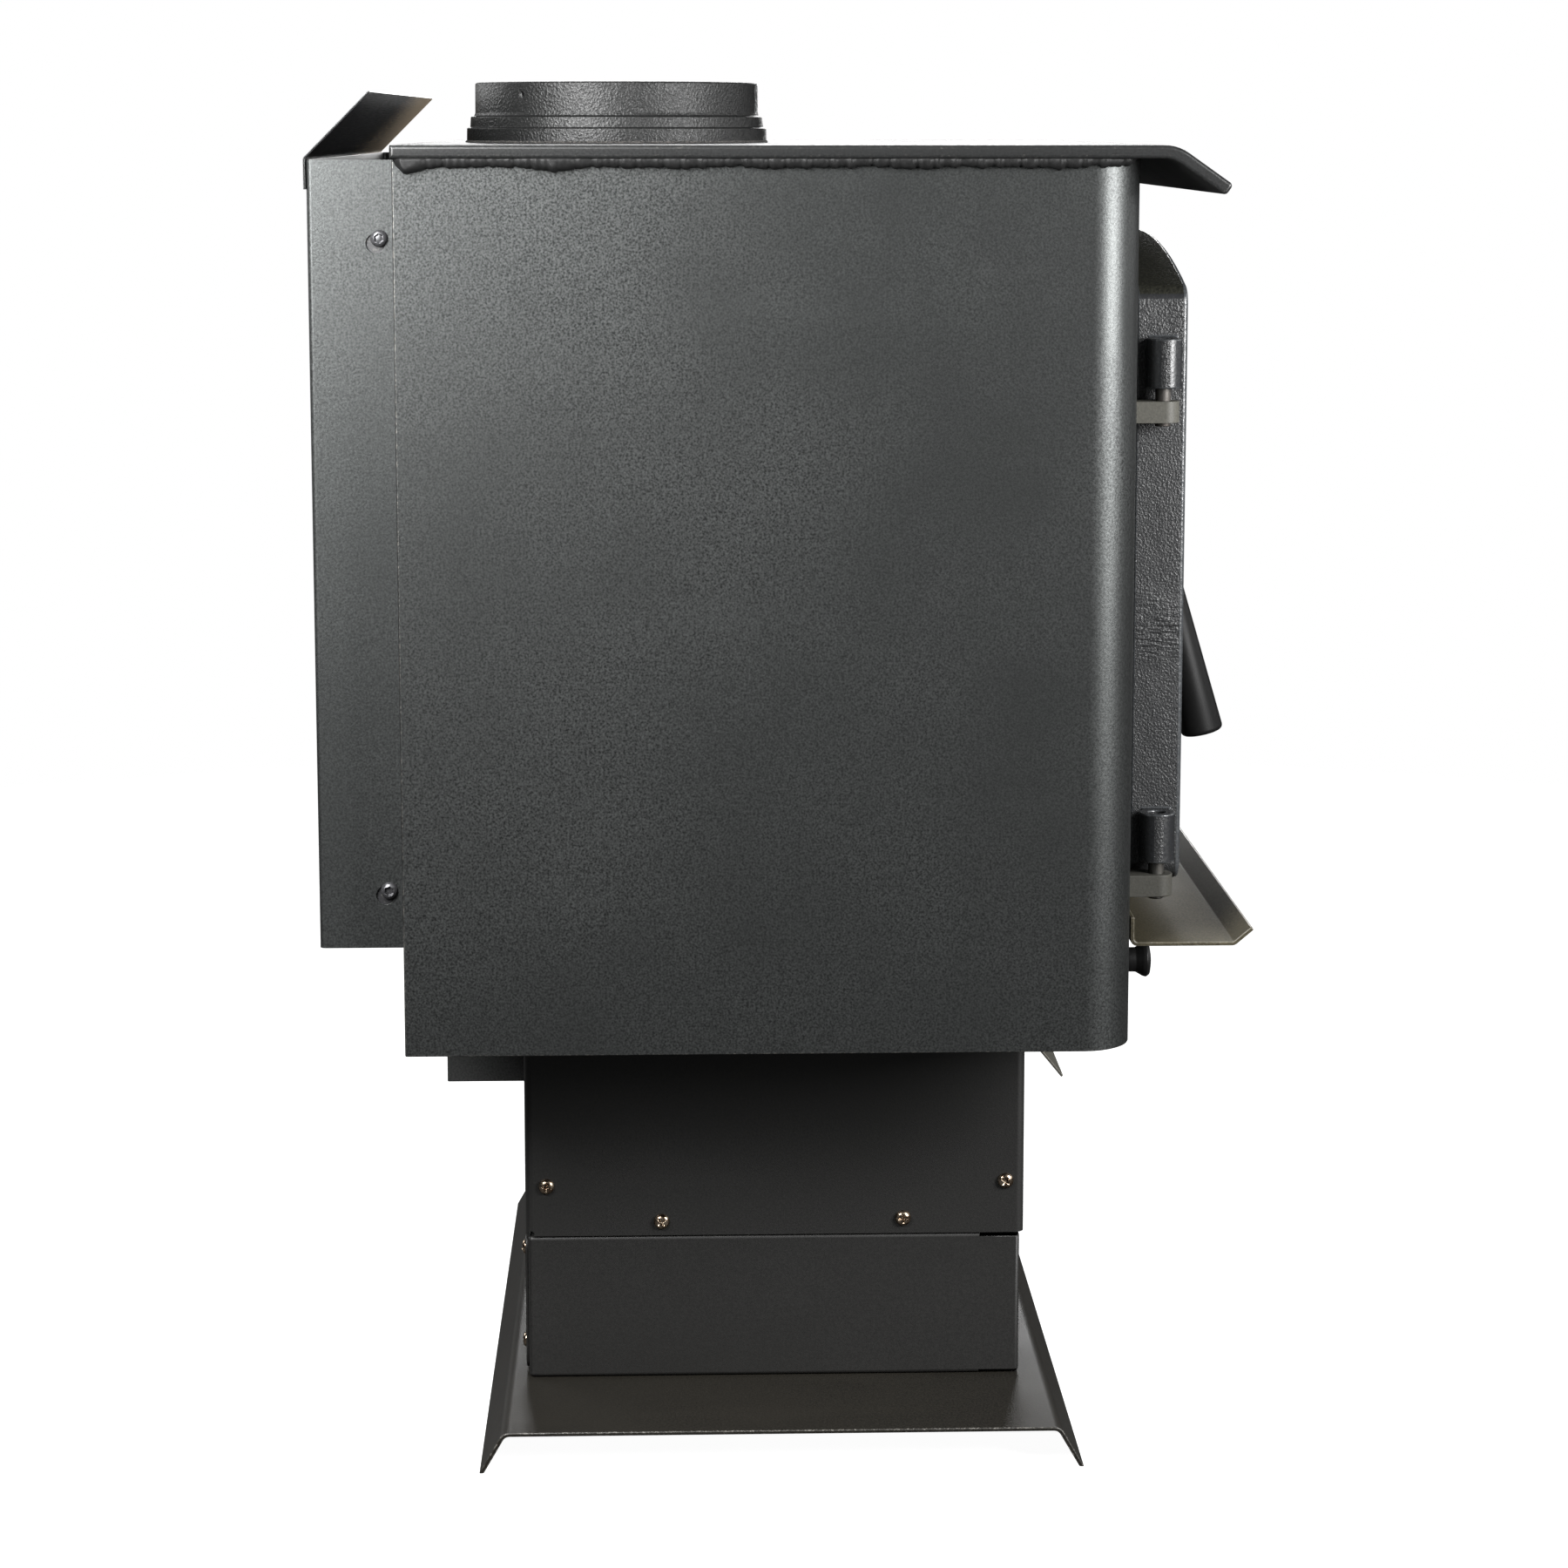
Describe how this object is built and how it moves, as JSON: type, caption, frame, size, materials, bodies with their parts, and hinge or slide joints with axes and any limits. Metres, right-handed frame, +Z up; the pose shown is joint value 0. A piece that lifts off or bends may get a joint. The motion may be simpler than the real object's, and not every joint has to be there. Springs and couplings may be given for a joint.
{
  "type": "wood burning stove",
  "caption": "Free-standing steel wood stove on a pedestal and folded foot, with an arched glass door, rear heat shield, flue collar, ash shelf and ash drawer.",
  "frame": {"origin": "on the floor under the middle of the stove's length and width", "axes": "+Z up, -Y to the front where the door is, +X to the right seen from the front"},
  "size_m": [0.706, 0.7157, 0.986],
  "materials": {
    "painted_steel": "satin charcoal high-temperature paint, finely grained",
    "cast_iron": "semi-gloss black paint over rough cast iron",
    "bracket_steel": "smooth matt dark olive grey",
    "raw_steel": "mill finish steel, browned",
    "shield_screw": "black oxide",
    "pedestal_screw": "bright with a bronze tint",
    "black_handle": "satin black",
    "firebrick": "rough pale fired clay",
    "fibre_board": "soft pale ceramic fibre board",
    "ceramic_glass": "clear, slightly smoked",
    "glass_rope": "braided glass rope"
  },
  "bodies": {
    "stove_body": {"left_side_panel": "painted_steel", "right_side_panel": "painted_steel", "front_plate": "painted_steel", "rear_plate": "painted_steel", "cooktop_plate": "painted_steel", "rear_shield": "painted_steel", "shield_deflector": "painted_steel", "pedestal_wrap": "painted_steel", "pedestal_base": "painted_steel", "foot_plate": "painted_steel", "ash_shelf": "painted_steel", "flue_collar": "cast_iron", "log_retainer": "cast_iron", "hinge_bracket_lower": "bracket_steel", "hinge_bracket_upper": "bracket_steel", "firebox_floor": "raw_steel", "air_channel_left": "raw_steel", "air_channel_right": "raw_steel", "air_tube_1": "raw_steel", "air_tube_2": "raw_steel", "air_tube_3": "raw_steel", "air_tube_4": "raw_steel", "air_wash_plate": "raw_steel", "latch_striker": "raw_steel", "hinge_pin_lower": "raw_steel", "hinge_pin_upper": "raw_steel", "shield_rail_left": "raw_steel", "shield_rail_right": "raw_steel", "air_intake_box": "raw_steel", "drawer_support": "raw_steel", "shield_screw_left_lower": "shield_screw", "shield_screw_left_upper": "shield_screw", "shield_screw_right_lower": "shield_screw", "shield_screw_right_upper": "shield_screw", "pedestal_screw_left_1": "pedestal_screw", "pedestal_screw_left_2": "pedestal_screw", "pedestal_screw_left_3": "pedestal_screw", "pedestal_screw_left_4": "pedestal_screw", "pedestal_screw_right_1": "pedestal_screw", "pedestal_screw_right_2": "pedestal_screw", "pedestal_screw_right_3": "pedestal_screw", "pedestal_screw_right_4": "pedestal_screw", "floor_brick_left": "firebrick", "floor_brick_centre": "firebrick", "floor_brick_right": "firebrick", "side_brick_left": "firebrick", "side_brick_right": "firebrick", "rear_brick": "firebrick", "baffle_board": "fibre_board"},
    "door": {"door_frame": "cast_iron", "door_glass": "ceramic_glass", "glass_frame": "raw_steel", "door_gasket": "glass_rope"},
    "door_latch": {"latch_shaft": "raw_steel", "handle_grip": "black_handle"},
    "air_control": {"air_rod": "raw_steel", "air_knob": "black_handle"},
    "ash_drawer": {"ash_pan": "raw_steel", "drawer_front": "painted_steel"},
    "ash_plug": {"ash_plug": "firebrick"}
  },
  "joints": [
    {"name": "door_hinge", "type": "hinge", "parent": "stove_body", "child": "door", "pos_m": [-0.263, -0.23647, 0.62], "axis": [0, 0, -1], "range_deg": [0, 120]},
    {"name": "handle_turn", "type": "hinge", "parent": "door", "child": "door_latch", "pos_m": [0.212, -0.25747, 0.625], "axis": [0, -1, 0], "range_deg": [0, 90]},
    {"name": "air_slide", "type": "slide", "parent": "stove_body", "child": "air_control", "axis": [0, -1, 0], "range_m": [-0.015, 0.035]},
    {"name": "ash_drawer_slide", "type": "slide", "parent": "stove_body", "child": "ash_drawer", "axis": [0, -1, 0], "range_m": [0, 0.3]},
    {"name": "ash_plug_lift", "type": "slide", "parent": "stove_body", "child": "ash_plug", "axis": [0, 0, 1], "range_m": [0, 0.1]}
  ]
}
